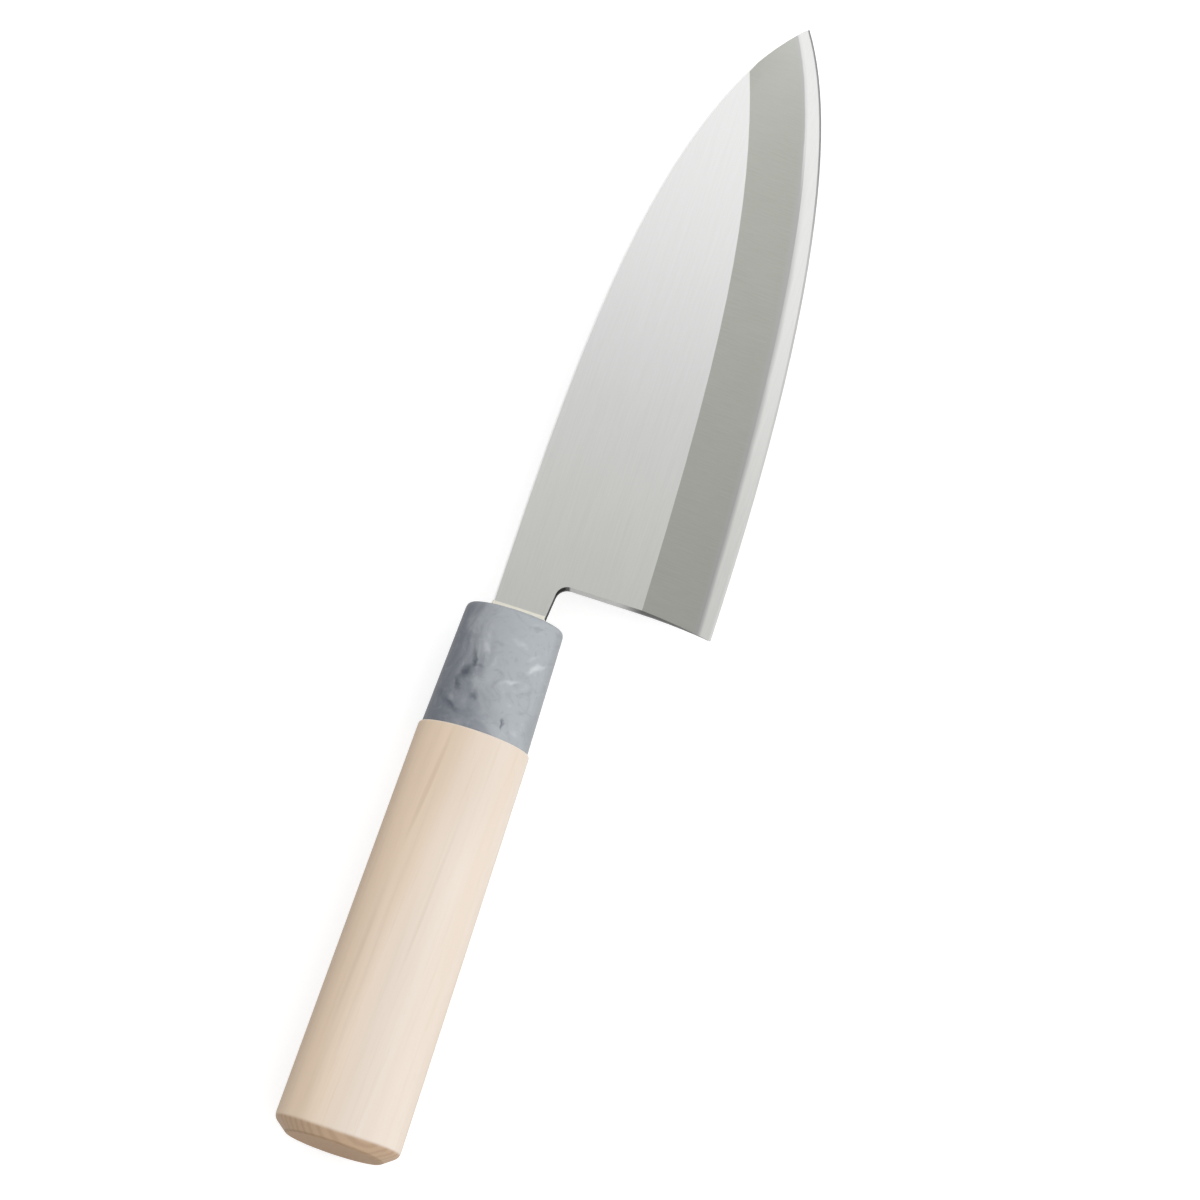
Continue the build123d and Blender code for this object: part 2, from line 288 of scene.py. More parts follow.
# centre, angle in degrees, half sizes and share of each streak
WOOD_STREAKS = (
    ((85.5, 5.5, 8.4), -4.5, (19.0, 0.9, 4.0), 0.26),
    ((45.0, 8.0, 7.0), -2.0, (26.0, 1.0, 4.0), 0.14),
    ((60.0, -3.0, 9.5), -2.5, (30.0, 0.6, 4.0), 0.12),
    # the last is a broad darker patch on the wood towards the ferrule
    ((99.0, -4.0, 9.0), 0.0, (34.0, 14.0, 14.0), 0.15),
)
STREAK_COLOR = (0.50, 0.36, 0.24, 1)
# heartwood tone, which also paints the shade on the spine side, and sapwood tone, which also paints the
# light on the edge side
HEARTWOOD_AND_SHADE = (0.84, 0.665, 0.50, 1)
SAPWOOD_AND_LIGHT = (0.775, 0.685, 0.600, 1)
SAP_AND_LIGHT_CLOUD = (0.035, (2.5, 1, 1), 2.0)
SAP_AND_LIGHT_WANDER = 12.0
SAP_AND_LIGHT_Y = (12.0, -6.0)
BAND_COLOR = (0.95, 0.79, 0.64, 1)
BAND_PLACE = ((30.0, 4.6, 9.0), -1.0, (62.0, 5.0, 6.0))
BAND_EDGE = (1.0, 0.2)
BAND_SHARE = 0.35
# painted shade on the handle's flank towards the spine, which turns away from the light
WOOD_FLANK_SHADE_COLOR = (0.45, 0.33, 0.235, 1)
WOOD_FLANK_SHADE_TURN = (0.6, 1.0)
WOOD_FLANK_SHADE_SHARE = 0.45
# painted highlight on the rounded shoulder at the ferrule
SHOULDER_HIGHLIGHT_COLOR = (0.88, 0.80, 0.70, 1)
SHOULDER_HIGHLIGHT_TURN = (0.2, 0.7)
SHOULDER_HIGHLIGHT_SHARE = 0.6
WOOD_ROUGHNESS = 0.44
WOOD_ROUGHNESS_REACH = 0.16
WOOD_SPECULAR = 0.4
HAIR_RELIEF_SHARE = 0.6
WOOD_RELIEF = (0.02, 0.5)

# End grain of the butt: its rings are of early wood and late wood, around a pith below the handle
RING_CENTER = (0.0, -22.0, 60.0)
RING_SPACING = 1.5
RING_WOBBLE = 1.6
RING_WOBBLE_SCALE = 0.12
LATE_WOOD_RANGE = (-0.4, 1.0)
CHAMFER_TONES = ((0.515, 0.36, 0.237, 1), (0.46, 0.315, 0.205, 1))
# the butt's flat is darker than the chamfer with painted shade, as it faces away from the light
BUTT_SHADE_TONES = ((0.435, 0.262, 0.138, 1), (0.345, 0.195, 0.090, 1))
BUTT_TURN = (-0.86, -0.97)
BUTT_SHADE_SHARE = 0.85
PORE_COLOR = (0.30, 0.19, 0.11, 1)
PORES = (7.0, (1, 1, 1), 2.0)
PORE_RANGE = (0.55, 0.72)
PORE_SHARE = 0.35
BUTT_LINE_COLOR = (0.27, 0.17, 0.09, 1)
BUTT_LINE_X = (0.55, 0.30)
BUTT_LINE_SHARE = 0.5
END_GRAIN_TURN = (-0.14, -0.42)


def end_grain(t, place, x, nx):
    """Colour of the wood's end: growth rings and pores, a browner flat darkened with painted shade, and a
    dark line around the flat.
    """
    out_of_pith = t.vector("SUBTRACT", place, Vector(RING_CENTER) * MM)
    across = t.vector("MULTIPLY", out_of_pith, (0, 1, 1))
    wobble = t.times(t.noise(across, RING_WOBBLE_SCALE), RING_WOBBLE * MM)
    radius = t.plus(t.length(across), wobble)
    late = t.step(t.math("SINE", t.times(radius, 2 * pi / (RING_SPACING * MM))), *LATE_WOOD_RANGE)
    on_butt = t.step(nx, *BUTT_TURN)
    color = t.lay(t.mix(late, *CHAMFER_TONES), on_butt, BUTT_SHADE_SHARE, t.mix(late, *BUTT_SHADE_TONES))
    color = t.lay(color, t.step(t.noise(place, *PORES), *PORE_RANGE), PORE_SHARE, PORE_COLOR)
    line = t.times(t.step_mm(x, *BUTT_LINE_X), t.minus(1.0, on_butt))
    return t.lay(color, line, BUTT_LINE_SHARE, BUTT_LINE_COLOR)


def wood_material():
    """Bare sanded magnolia: faint straight grain a little off the axis, and end grain at the butt. Painted
    light and shade: a paler edge side, a darker flank and butt flat, and a highlight on the shoulder.
    """
    mat, t, shader, place, normal = new_material("pale_wood")
    x, y, _ = t.split(place)
    nx, ny, _ = t.split(normal)
    # the sapwood is paler towards the edge of the knife, and this split is also painted light on the edge
    # side and painted shade towards the spine
    drift = t.wander(y, t.noise(place, *SAP_AND_LIGHT_CLOUD), SAP_AND_LIGHT_WANDER)
    color = t.mix(t.step_mm(drift, *SAP_AND_LIGHT_Y), HEARTWOOD_AND_SHADE, SAPWOOD_AND_LIGHT)
    color = t.lay(color, t.mark(place, *BAND_PLACE, *BAND_EDGE), BAND_SHARE, BAND_COLOR)
    # painted shade on the flank towards the spine
    color = t.lay(color, t.step(ny, *WOOD_FLANK_SHADE_TURN), WOOD_FLANK_SHADE_SHARE, WOOD_FLANK_SHADE_COLOR)
    turned = t.turn(place, GRAIN_ANGLE_DEG)
    grains = []
    for scale, length, detail, roughness, distortion, reach, share, tint in WOOD_GRAINS:
        grain = t.noise(turned, scale, (length, 1, 1), detail, roughness, distortion)
        color = t.lay(color, t.step(grain, *reach), share, tint)
        grains.append(grain)
    for center, turn, size, share in WOOD_STREAKS:
        color = t.lay(color, t.mark(place, center, turn, size), share, STREAK_COLOR)
    color = t.mix(t.step(nx, *END_GRAIN_TURN), color, end_grain(t, place, x, nx))
    # painted highlight on the shoulder's rounding
    color = t.lay(color, t.step(nx, *SHOULDER_HIGHLIGHT_TURN), SHOULDER_HIGHLIGHT_SHARE, SHOULDER_HIGHLIGHT_COLOR)
    t.feed(shader.inputs["Base Color"], color)
    _, fine, hair = grains
    t.feed(shader.inputs["Roughness"], t.rise(WOOD_ROUGHNESS, fine, WOOD_ROUGHNESS_REACH))
    shader.inputs["Specular IOR Level"].default_value = WOOD_SPECULAR
    t.feed(shader.inputs["Normal"], t.bump(t.rise(fine, hair, HAIR_RELIEF_SHARE), *WOOD_RELIEF))
    return mat


# Plastic of the ferrule, whose cloud and swirl also have a roughness and a distortion
PLASTIC_CLOUD = (0.11, (1.3, 1, 1), 5.0, 0.55, 0.9)
PLASTIC_SWIRL = (0.26, (1, 1.4, 1), 4.0, 0.55, 1.8)
# the dark grey is partly the marbling and partly painted shade on the spine side, the pale grey partly
# painted light on the edge side
PLASTIC_DARK = (0.165, 0.18, 0.212, 1)
PLASTIC_PALE = (0.375, 0.40, 0.423, 1)
DARK_SIDE_Y = (11.0, -2.5)
DARK_SIDE_WANDER = 26.0
DARK_SIDE_X = 111.0
DARK_SIDE_SLOPE = 0.22
DARK_SWIRL_COLOR = (0.25, 0.265, 0.30, 1)
DARK_SWIRL_RANGE = (0.50, 0.72)
DARK_SWIRL_SHARE = 0.45
PALE_SWIRL_COLOR = (0.47, 0.50, 0.52, 1)
PALE_SWIRL_RANGE = (0.44, 0.26)
PALE_SWIRL_LEAST_SHARE = 0.12
PALE_SWIRL_ADDED_SHARE = 0.38
STIR_SCALE = 0.35
STIR_REACH = 2.6
MARK_EDGE = (1.1, 0.0)
# centre, angle in degrees, half sizes and share of each streak and wisp
DARK_STREAKS = (
    ((112.6, 6.2, 7.6), 158.0, (3.6, 1.5, 3.0), 0.92),
    ((115.8, 5.2, 8.2), 14.0, (3.2, 0.8, 3.0), 0.85),
    ((109.4, 7.2, 7.2), 20.0, (2.2, 0.8, 3.0), 0.75),
    ((114.9, 3.8, 8.6), 85.0, (2.0, 0.7, 3.0), 0.35),
    ((104.2, 7.2, 7.6), 56.0, (4.0, 1.0, 3.0), 0.72),
    ((106.6, 10.3, 4.8), 42.0, (2.2, 0.9, 3.0), 0.50),
    ((107.6, 2.7, 9.0), 20.0, (1.6, 1.2, 2.5), 0.60),
    ((104.8, -3.2, 8.9), 70.0, (4.0, 2.4, 3.0), 0.14),
    ((103.5, -5.6, 8.2), 18.0, (1.6, 0.42, 2.0), 0.80),
    ((109.2, 0.0, 9.2), 53.0, (4.8, 2.2, 3.0), 0.18),
    ((105.5, -11.3, 3.5), 0.0, (4.5, 2.0, 3.0), 0.16),
    ((112.0, -7.0, -6.0), 40.0, (4.0, 1.2, 2.5), 0.65),
    ((106.0, 5.0, -8.0), 150.0, (3.5, 1.2, 2.5), 0.65),
    ((121.0, 1.5, -8.5), 20.0, (3.0, 0.8, 2.5), 0.55),
)
DARK_STREAK_COLOR = (0.075, 0.085, 0.11, 1)
PALE_WISPS = (
    ((118.2, -8.4, 5.9), -42.0, (4.4, 1.0, 2.2), 0.70),
    ((120.3, -7.3, 6.5), -40.0, (2.4, 0.7, 2.0), 0.30),
    ((113.2, -4.3, 8.4), -62.0, (2.6, 0.8, 2.0), 0.50),
    ((119.2, 3.4, 8.2), 20.0, (3.4, 1.0, 2.0), 0.55),
    ((121.8, 3.8, 8.0), 10.0, (5.5, 2.8, 3.0), 0.16),
    ((106.2, 7.6, 7.2), 40.0, (1.8, 1.1, 2.5), 0.25),
    ((122.7, -3.4, 8.0), 85.0, (3.0, 1.0, 2.0), 0.36),
    ((102.6, -8.6, 6.5), 70.0, (2.0, 0.9, 2.0), 0.30),
    ((105.8, 5.0, 8.2), 60.0, (4.4, 3.0, 3.0), 0.14),
    ((110.0, 0.0, -9.0), 60.0, (4.0, 0.7, 2.0), 0.50),
    ((124.0, -6.0, -6.0), 20.0, (3.0, 0.7, 2.0), 0.50),
)
PALE_WISP_COLOR = (0.62, 0.65, 0.67, 1)
# turn, share and colour of the painted shade on its two narrow sides
PLASTIC_FLANK_SHADES = (
    ((-0.75, -1.0), 0.35, (0.20, 0.21, 0.22, 1)),
    ((0.6, 1.0), 0.22, (0.06, 0.065, 0.07, 1)),
)
PLASTIC_ROUGHNESS = 0.36
PLASTIC_ROUGHNESS_REACH = 0.12
PLASTIC_SPECULAR = 0.38
PLASTIC_WAVES = (0.35, (1, 1, 1), 2.0)
PLASTIC_RELIEF = (0.03, 0.35)


def plastic_material():
    """Marbled grey plastic: clouds of two greys, smoky dark streaks and pale wisps, under a soft gloss, with
    painted shade on the spine side and on the narrow sides.
    """
    mat, t, shader, place, normal = new_material("ferrule_plastic")
    x, y, _ = t.split(place)
    cloud = t.noise(place, *PLASTIC_CLOUD)
    swirl = t.noise(place, *PLASTIC_SWIRL)
    # the dark side narrows towards the mouth; it is partly the marbling and partly painted shade on the
    # spine side
    drift = t.wander(y, cloud, DARK_SIDE_WANDER)
    drift = t.minus(drift, t.times(t.minus(x, DARK_SIDE_X * MM), DARK_SIDE_SLOPE))
    pale_and_lit_side = t.step_mm(drift, *DARK_SIDE_Y)
    color = t.mix(pale_and_lit_side, PLASTIC_DARK, PLASTIC_PALE)
    color = t.lay(color, t.step(swirl, *DARK_SWIRL_RANGE), DARK_SWIRL_SHARE, DARK_SWIRL_COLOR)
    pale_share = t.rise(PALE_SWIRL_LEAST_SHARE, pale_and_lit_side, PALE_SWIRL_ADDED_SHARE)
    color = t.lay(color, t.step(swirl, *PALE_SWIRL_RANGE), pale_share, PALE_SWIRL_COLOR)
    stirred = t.stir(place, STIR_SCALE, STIR_REACH)
    for marks, tint in ((DARK_STREAKS, DARK_STREAK_COLOR), (PALE_WISPS, PALE_WISP_COLOR)):
        for center, turn, size, share in marks:
            color = t.lay(color, t.mark(stirred, center, turn, size, *MARK_EDGE), share, tint)
    _, ny, _ = t.split(normal)
    # painted shade on the two narrow sides
    for turn, share, tint in PLASTIC_FLANK_SHADES:
        color = t.lay(color, t.step(ny, *turn), share, tint)
    t.feed(shader.inputs["Base Color"], color)
    t.feed(shader.inputs["Roughness"], t.rise(PLASTIC_ROUGHNESS, cloud, PLASTIC_ROUGHNESS_REACH))
    shader.inputs["Specular IOR Level"].default_value = PLASTIC_SPECULAR
    t.feed(shader.inputs["Normal"], t.bump(t.noise(place, *PLASTIC_WAVES), *PLASTIC_RELIEF))
    return mat


# Resin, into which light goes a little way: its glow has a depth for red, for green and for blue
RESIN_TONES = ((0.81, 0.79, 0.70, 1), (0.72, 0.70, 0.61, 1))
RESIN_PATCH_SCALE = 0.5
RESIN_ROUGHNESS = 0.38
RESIN_GLOW_SHARE = 0.15
RESIN_GLOW_DEPTHS = (0.6 * MM, 0.5 * MM, 0.3 * MM)
RESIN_RELIEF = (0.05, 0.4)


def resin_material():
    """Cream resin, a little uneven, with the soft shine of something that set as a liquid."""
    mat, t, shader, place, _ = new_material("bedding_resin")
    patches = t.noise(place, RESIN_PATCH_SCALE)
    t.feed(shader.inputs["Base Color"], t.mix(patches, *RESIN_TONES))
    shader.inputs["Roughness"].default_value = RESIN_ROUGHNESS
    shader.inputs["Subsurface Weight"].default_value = RESIN_GLOW_SHARE
    shader.inputs["Subsurface Radius"].default_value = RESIN_GLOW_DEPTHS
    t.feed(shader.inputs["Normal"], t.bump(patches, *RESIN_RELIEF))
    return mat


# Both steels. A grind has a stretch along each axis and a fineness.
LENGTHWISE = ((60, 1, 1), 3.0)
BEVEL_GRIND = ((1, 22, 22), 3.2)
HOLLOW_GRIND = ((1, 30, 30), 2.0)
GRIND_FINER = 2.6
GRIND_DETAIL = (2.0, 0.6)
GRIND_SHARES = (0.6, 0.4)
SCRATCH_RANGE = (0.3, 0.7)
STEEL_CLOUD = (0.1, (1, 1, 1), 4.0)
STEEL_ROUGHNESS_REACH = 0.12
SIDE_TURN = (0.62, 0.45)
SPINE_TURN = (0.1, 0.4)
SPINE_BREAK_TURN_Y = (0.2, 0.4)
SPINE_BREAK_TURN_Z = (0.55, 0.65)
# painted highlight on the break between the flat and the spine
SPINE_BREAK_HIGHLIGHT_COLOR = (0.93, 0.93, 0.92, 1)
HEEL_WALL_TURN = (-0.85, -0.97)
HEEL_WALL_BRIGHT_Y = (-27.5, -21.0)
HEEL_WALL_BRIGHT_COLOR = (0.55, 0.55, 0.53, 1)
# painted shade: the curve of the notch is black
NOTCH_CURVE_SHADE_TURN = (0.04, 0.18)
NOTCH_CURVE_SHADE_COLOR = (0.028, 0.028, 0.027, 1)


def grind(t, place, along, fine):
    """Fine scratches of a belt or a wheel: two noises drawn out along one direction."""
    first = t.noise(place, fine, along, *GRIND_DETAIL)
    second = t.noise(place, fine * GRIND_FINER, along, *GRIND_DETAIL)
    return t.plus(t.times(first, GRIND_SHARES[0]), t.times(second, GRIND_SHARES[1]))


def above_hard_layer(t, x, z, cloud):
    """Height above the hard layer's top, which is bowed along the blade, with a little cloudiness."""
    share = t.times(t.minus(x, HEEL_X * MM), 1 / ((TIP_X - HEEL_X) * MM))
    bow = t.times(share, t.minus(HARD_LAYER_RISE * MM, t.times(share, HARD_LAYER_FALL * MM)))
    above = t.minus(t.minus(z, bow), (BACK_Z + HARD_LAYER) * MM)
    return t.wander(above, cloud, HARD_LAYER_RIPPLE)


def notch_side(t, side, heel_wall, y, nx, ny):
    """Colour of a side with the bright upper wall and the curve of the notch painted black as shade, and
    that wall's mask.
    """
    bright = t.times(heel_wall, t.step_mm(y, *HEEL_WALL_BRIGHT_Y))
    side = t.mix(bright, side, HEEL_WALL_BRIGHT_COLOR)
    # painted shade, black on the notch's curve
    curve = t.step(t.times(nx, ny), *NOTCH_CURVE_SHADE_TURN)
    return t.mix(curve, side, NOTCH_CURVE_SHADE_COLOR), bright


def highlight_spine_break(t, color, ny, nz):
    """Colour with a painted highlight on the narrow break between the flat and the spine."""
    on_break = t.times(t.step(ny, *SPINE_BREAK_TURN_Y), t.step(nz, *SPINE_BREAK_TURN_Z))
    return t.mix(on_break, color, SPINE_BREAK_HIGHLIGHT_COLOR)


# Soft steel. The heights of the seam and of the polish are above the hard layer.
# painted light: the flat is lighter near the neck than towards the tip
FLAT_NECK_LIT_TONES = ((0.592, 0.597, 0.568, 1), (0.622, 0.627, 0.598, 1))
FLAT_TIP_TONES = ((0.565, 0.565, 0.562, 1), (0.595, 0.595, 0.592, 1))
FLAT_TIP_X = (150.0, 200.0)
BEVEL_TONES = ((0.330, 0.337, 0.306, 1), (0.352, 0.359, 0.328, 1))
BEVEL_TURN = (-0.07, -0.16)
BEVEL_CLOUD_COLOR = (0.365, 0.365, 0.338, 1)
BEVEL_CLOUD_RANGE = (0.35, 0.7)
BEVEL_CLOUD_SHARE = 0.25
SEAM_COLOR = (0.372, 0.365, 0.382, 1)
SEAM_HEIGHT = (0.30, 0.10)
SEAM_SHARE = 0.5
TIP_POLISH_COLOR = (0.56, 0.56, 0.555, 1)
TIP_POLISH_HEIGHT = (0.11, 0.06)
TIP_POLISH_X = (244.0, 262.0)
# painted shade: the sides are dark, the heel wall a little less so
SIDE_SHADE_TONES = ((0.05, 0.05, 0.05, 1), (0.12, 0.12, 0.116, 1))
HEEL_WALL_SHADE_TONES = ((0.14, 0.14, 0.14, 1), (0.24, 0.24, 0.232, 1))
SPINE_TONES = ((0.42, 0.42, 0.41, 1), (0.54, 0.54, 0.53, 1))
UNDERSIDE_TURN = (-0.45, -0.62)
SIDE_DULLNESS = 0.9
SOFT_STEEL_SPECULAR = 0.0
FLAT_ROUGHNESS = 0.28
BEVEL_ROUGHNESS = 0.43
SOFT_STEEL_RELIEF = (0.004, 0.35)


def bevel_color(t, x, z, cloud, crosswise):
    """Matt bevel with a dull seam above the hard layer, whose polish reaches over it near the tip."""
    color = t.mix(t.step(crosswise, *SCRATCH_RANGE), *BEVEL_TONES)
    color = t.lay(color, t.step(cloud, *BEVEL_CLOUD_RANGE), BEVEL_CLOUD_SHARE, BEVEL_CLOUD_COLOR)
    above = above_hard_layer(t, x, z, cloud)
    color = t.lay(color, t.step_mm(above, *SEAM_HEIGHT), SEAM_SHARE, SEAM_COLOR)
    polish = t.times(t.step_mm(above, *TIP_POLISH_HEIGHT), t.step_mm(x, *TIP_POLISH_X))
    return t.mix(polish, color, TIP_POLISH_COLOR)


def body_steel_material():
    """Soft steel: satin flat and neck, ground bevel, polished spine, and the other sides dark with painted
    shade.
    """
    mat, t, shader, place, normal = new_material("body_steel")
    x, y, z = t.split(place)
    nx, ny, nz = t.split(normal)
    lengthwise = grind(t, place, *LENGTHWISE)
    crosswise = grind(t, place, *BEVEL_GRIND)
    cloud = t.noise(place, *STEEL_CLOUD)
    scratch = t.step(lengthwise, *SCRATCH_RANGE)
    # painted light makes the flat lighter near the neck
    flat = t.mix(t.step_mm(x, *FLAT_TIP_X), t.mix(scratch, *FLAT_NECK_LIT_TONES), t.mix(scratch, *FLAT_TIP_TONES))
    on_bevel = t.step(ny, *BEVEL_TURN)
    color = t.mix(on_bevel, flat, bevel_color(t, x, z, cloud, crosswise))
    heel_wall = t.step(nx, *HEEL_WALL_TURN)
    # painted shade darkens the sides and the heel wall
    side = t.mix(heel_wall, t.mix(cloud, *SIDE_SHADE_TONES), t.mix(cloud, *HEEL_WALL_SHADE_TONES))
    side, bright_wall = notch_side(t, side, heel_wall, y, nx, ny)
    on_spine = t.step(ny, *SPINE_TURN)
    side = t.mix(on_spine, side, t.mix(lengthwise, *SPINE_TONES))
    on_side = t.minus(t.step(nz, *SIDE_TURN), t.step(nz, *UNDERSIDE_TURN))
    color = highlight_spine_break(t, t.mix(on_side, color, side), ny, nz)
    t.feed(shader.inputs["Base Color"], color)
    dull_side = t.times(on_side, t.minus(1.0, t.math("MAXIMUM", on_spine, bright_wall)))
    t.feed(shader.inputs["Metallic"], t.minus(1.0, t.times(dull_side, SIDE_DULLNESS)))
    shader.inputs["Specular IOR Level"].default_value = SOFT_STEEL_SPECULAR
    flat_roughness = t.rise(FLAT_ROUGHNESS, lengthwise, STEEL_ROUGHNESS_REACH)
    t.feed(shader.inputs["Roughness"], t.pick(on_bevel, flat_roughness, BEVEL_ROUGHNESS))
    relief = t.pick(on_bevel, lengthwise, crosswise)
    t.feed(shader.inputs["Normal"], t.bump(relief, *SOFT_STEEL_RELIEF))
    return mat


# Hard steel. The border's height is above the hard layer, the edge's and the hollow's above the back.
STRIP_TONES = ((0.62, 0.62, 0.60, 1), (0.66, 0.66, 0.64, 1))
# painted shade darkens the strip towards the tip
STRIP_TIP_SHADE_TONES = ((0.525, 0.525, 0.52, 1), (0.56, 0.56, 0.555, 1))
STRIP_TIP_X = (150.0, 265.0)
BORDER_COLOR = (0.41, 0.41, 0.40, 1)
BORDER_HEIGHT = (-0.24, 0.0)
BORDER_X = (262.0, 225.0)
EDGE_COLOR = (0.30, 0.30, 0.30, 1)
EDGE_HEIGHT = (0.17, 0.13)
EDGE_TURN = (0.955, 0.925)
EDGE_X = (232.0, 262.0)
# painted shade on the hard steel's sides
HARD_SIDE_SHADE_COLOR = (0.12, 0.12, 0.117, 1)
HARD_SPINE_COLOR = (0.50, 0.50, 0.49, 1)
HOLLOW_TONES = ((0.50, 0.50, 0.49, 1), (0.58, 0.58, 0.57, 1))
HOLLOW_HEIGHT = (0.004, 0.02)
BACK_RIM_COLOR = (0.66, 0.66, 0.65, 1)
BACK_TURN = (-0.6, -0.8)
STRIP_ROUGHNESS = 0.25
HARD_STEEL_RELIEF = (0.004, 0.3)


def above_back(t, z, start, end):
    """Smooth step over the height above the back's plane."""
    return t.step_mm(z, BACK_Z + start, BACK_Z + end)


def strip_color(t, place, x, z, nz, lengthwise):
    """Strip, darkened towards the tip with painted shade, dull at its upper border, and dark at the edge by
    the tip.
    """
    scratch = t.step(lengthwise, *SCRATCH_RANGE)
    color = t.mix(t.step_mm(x, *STRIP_TIP_X), t.mix(scratch, *STRIP_TONES), t.mix(scratch, *STRIP_TIP_SHADE_TONES))
    above = above_hard_layer(t, x, z, t.noise(place, *STEEL_CLOUD))
    border = t.times(t.step_mm(above, *BORDER_HEIGHT), t.step_mm(x, *BORDER_X))
    color = t.mix(border, color, BORDER_COLOR)
    edge = t.times(t.step(nz, *EDGE_TURN), above_back(t, z, *EDGE_HEIGHT))
    edge = t.times(edge, t.step_mm(x, *EDGE_X))
    return t.mix(edge, color, EDGE_COLOR)


def hard_steel_material():
    """Hard steel: the strip with its edge, the sides, and the hollow back in its flat rim."""
    mat, t, shader, place, normal = new_material("hard_steel")
    x, y, z = t.split(place)
    nx, ny, nz = t.split(normal)
    lengthwise = grind(t, place, *LENGTHWISE)
    crosswise = grind(t, place, *HOLLOW_GRIND)
    strip = strip_color(t, place, x, z, nz, lengthwise)
    # the hard steel's sides are dark with painted shade
    side, _ = notch_side(t, HARD_SIDE_SHADE_COLOR, t.step(nx, *HEEL_WALL_TURN), y, nx, ny)
    side = t.mix(t.step(ny, *SPINE_TURN), side, HARD_SPINE_COLOR)
    color = t.mix(t.step(nz, *SIDE_TURN), strip, side)
    hollow = t.mix(t.step(crosswise, *SCRATCH_RANGE), *HOLLOW_TONES)
    back = t.mix(above_back(t, z, *HOLLOW_HEIGHT), BACK_RIM_COLOR, hollow)
    on_back = t.step(nz, *BACK_TURN)
    color = highlight_spine_break(t, t.mix(on_back, color, back), ny, nz)
    t.feed(shader.inputs["Base Color"], color)
    shader.inputs["Metallic"].default_value = 1.0
    t.feed(shader.inputs["Roughness"], t.rise(STRIP_ROUGHNESS, lengthwise, STEEL_ROUGHNESS_REACH))
    relief = t.pick(on_back, lengthwise, crosswise)
    t.feed(shader.inputs["Normal"], t.bump(relief, *HARD_STEEL_RELIEF))
    return mat


# Meshes


def rounded_profile(corners, radii):
    """Points of a profile whose inner corners are rounded, each by its own radius."""
    points = [Vector(corners[0])]
    for before, corner, after, radius in zip(corners, corners[1:], corners[2:], radii):
        before, corner, after = Vector(before), Vector(corner), Vector(after)
        if radius == 0:
            points.append(corner)
            continue
        start = corner + (before - corner).normalized() * radius
        end = corner + (after - corner).normalized() * radius
        for step in range(ROUNDING_STEPS + 1):
            share = step / ROUNDING_STEPS
            points.append(start.lerp(corner, share).lerp(corner.lerp(end, share), share))
    points.append(Vector(corners[-1]))
    return points


def oval_ring(x, half_width, half_thickness):
    """Points of an oval across the knife's axis."""
    ring = []
    for step in range(SEGMENTS):
        angle = 2 * pi * (step + 0.5) / SEGMENTS
        ring.append(Vector((x, half_width * cos(angle), half_thickness * sin(angle))) * MM)
    return ring


def box_ring(x, center_y, half_width, half_thickness, corner=SLOT_CORNER):
    """Points of a rectangle across the knife's axis, with rounded corners, in step with an oval's points."""
    ring = []
    quarter = SEGMENTS // 4
    flat_y, flat_z = half_width - corner, half_thickness - corner
    for side, (sign_y, sign_z) in enumerate(((1, 1), (-1, 1), (-1, -1), (1, -1))):
        for step in range(quarter):
            share = (step + 0.5) / quarter
            # each quarter has three stretches: its side, its corner, and half of its top or bottom
            along = 3 * (share if side % 2 == 0 else 1 - share)
            if along < 1:
                point = (half_width, flat_z * along)
            elif along > 2:
                point = (flat_y * (3 - along), half_thickness)
            else:
                angle = (along - 1) * pi / 2
                point = (flat_y + corner * cos(angle), flat_z + corner * sin(angle))
            ring.append(Vector((x, center_y + sign_y * point[0], sign_z * point[1])) * MM)
    return ring


def skin(name, rings, closed=False):
    """Mesh through rings of equal counts, closed into a loop of rings or with a flat cap at each end."""
    vertices = [point for ring in rings for point in ring]
    faces = []
    count = len(rings[0])
    last = len(rings) if closed else len(rings) - 1
    for row in range(last):
        here, there = row * count, (row + 1) % len(rings) * count
        for step in range(count):
            ahead = (step + 1) % count
            faces.append((here + step, there + step, there + ahead, here + ahead))
    if not closed:
        faces.append(tuple(range(count)))
        faces.append(tuple(range(last * count, len(vertices)))[::-1])
    mesh = bpy.data.meshes.new(name)
    mesh.from_pydata(vertices, [], faces)
    bm = bmesh.new()
    bm.from_mesh(mesh)
    bmesh.ops.recalc_face_normals(bm, faces=bm.faces)
    bm.to_mesh(mesh)
    bm.free()
    mesh.shade_smooth()
    mesh.set_sharp_from_angle(angle=radians(SHARP_ANGLE_DEG))
    obj = bpy.data.objects.new(name, mesh)
    scene.collection.objects.link(obj)
    return obj


def finish_piece(obj, node, material):
    """Puts a new piece in the place of its CAD node."""
    obj.data.materials.append(material)
    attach(obj, "root")
    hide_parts(node)


def slot_half(x, margin_y, margin_z):
    """Centre and half sizes of the tang, or of its slot with margins, at a place along the handle."""
    share = (x - (HANDLE_LENGTH - TANG_LENGTH)) / TANG_LENGTH
    top = TANG_TAIL[0] + share * (SPINE_Y - TANG_TAIL[0])
    low = -TANG_TAIL[0] + share * (NECK_LOW_Y + TANG_TAIL[0])
    face = TANG_TAIL[1] + share * (NECK_HALF_THICKNESS - TANG_TAIL[1])
    return (top + low) / 2, (top - low) / 2 + margin_y, face + margin_z


def slot_mouth():
    """Ring of the slot where the resin comes out at the ferrule's mouth."""
    front = HANDLE_LENGTH - MOUTH_RECESS
    return box_ring(front, *slot_half(front, SLOT_SIDE, SLOT_FACE))


